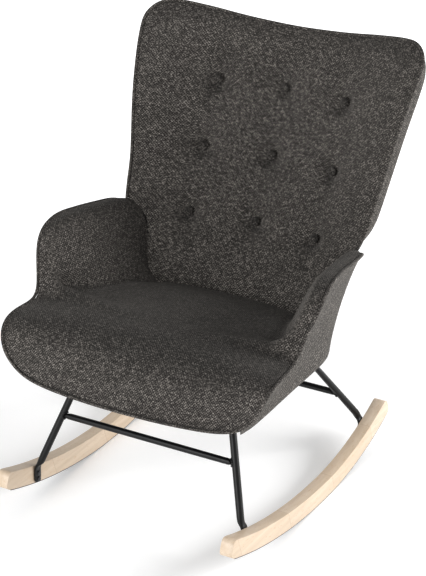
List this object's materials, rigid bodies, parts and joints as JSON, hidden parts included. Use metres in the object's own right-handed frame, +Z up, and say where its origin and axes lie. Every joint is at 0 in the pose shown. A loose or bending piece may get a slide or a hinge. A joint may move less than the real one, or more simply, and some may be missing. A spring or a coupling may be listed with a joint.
{
  "type": "rocking chair",
  "caption": "Upholstered wingback rocking chair: bucket seat with rounded arms and buttoned back, on bent round-steel legs bolted to curved wooden rockers.",
  "frame": {"origin": "middle of the bounding box's underside, on the floor between the rockers", "axes": "+Z up; -Y is the way the sitter faces; +X is the sitter's left"},
  "size_m": [0.7124, 0.8508, 0.9748],
  "materials": {
    "upholstery_fabric": "dark grey-brown chenille weave",
    "under_cloth": "thin black non-woven cloth",
    "plywood": "raw plywood",
    "beech": "clear satin lacquer on glued beech",
    "black_steel": "black satin powder coat",
    "bolt_steel": "dark zinc plate",
    "grip_rubber": "matt rubber"
  },
  "bodies": {
    "root": {"back_cushion": "upholstery_fabric", "back_outer_cover": "upholstery_fabric", "back_welt": "upholstery_fabric", "back_shell": "plywood", "back_button_bottom_left": "upholstery_fabric", "back_button_bottom_middle": "upholstery_fabric", "back_button_bottom_right": "upholstery_fabric", "back_button_middle_left": "upholstery_fabric", "back_button_middle_middle": "upholstery_fabric", "back_button_middle_right": "upholstery_fabric", "back_button_top_left": "upholstery_fabric", "back_button_top_middle": "upholstery_fabric", "back_button_top_right": "upholstery_fabric", "back_screw_1": "bolt_steel", "back_screw_2": "bolt_steel", "back_screw_3": "bolt_steel", "back_screw_4": "bolt_steel", "seat_cushion": "upholstery_fabric", "seat_outer_cover": "upholstery_fabric", "seat_welt": "upholstery_fabric", "seat_shell": "plywood", "seat_base_board": "plywood", "seat_front_rail": "plywood", "dust_cover": "under_cloth", "front_leg_left": "black_steel", "leg_plate_front_left": "black_steel", "plate_bolt_front_left_1": "bolt_steel", "rocker_bolt_front_left_1": "bolt_steel", "plate_bolt_front_left_2": "bolt_steel", "rocker_bolt_front_left_2": "bolt_steel", "front_leg_right": "black_steel", "leg_plate_front_right": "black_steel", "plate_bolt_front_right_1": "bolt_steel", "rocker_bolt_front_right_1": "bolt_steel", "plate_bolt_front_right_2": "bolt_steel", "rocker_bolt_front_right_2": "bolt_steel", "front_crossbar": "black_steel", "rear_leg_left": "black_steel", "leg_plate_rear_left": "black_steel", "plate_bolt_rear_left_1": "bolt_steel", "rocker_bolt_rear_left_1": "bolt_steel", "plate_bolt_rear_left_2": "bolt_steel", "rocker_bolt_rear_left_2": "bolt_steel", "rear_leg_right": "black_steel", "leg_plate_rear_right": "black_steel", "plate_bolt_rear_right_1": "bolt_steel", "rocker_bolt_rear_right_1": "bolt_steel", "plate_bolt_rear_right_2": "bolt_steel", "rocker_bolt_rear_right_2": "bolt_steel", "rear_crossbar": "black_steel", "rocker_left": "beech", "rocker_grip_strip_left": "grip_rubber", "rocker_right": "beech", "rocker_grip_strip_right": "grip_rubber"}
  },
  "joints": []
}
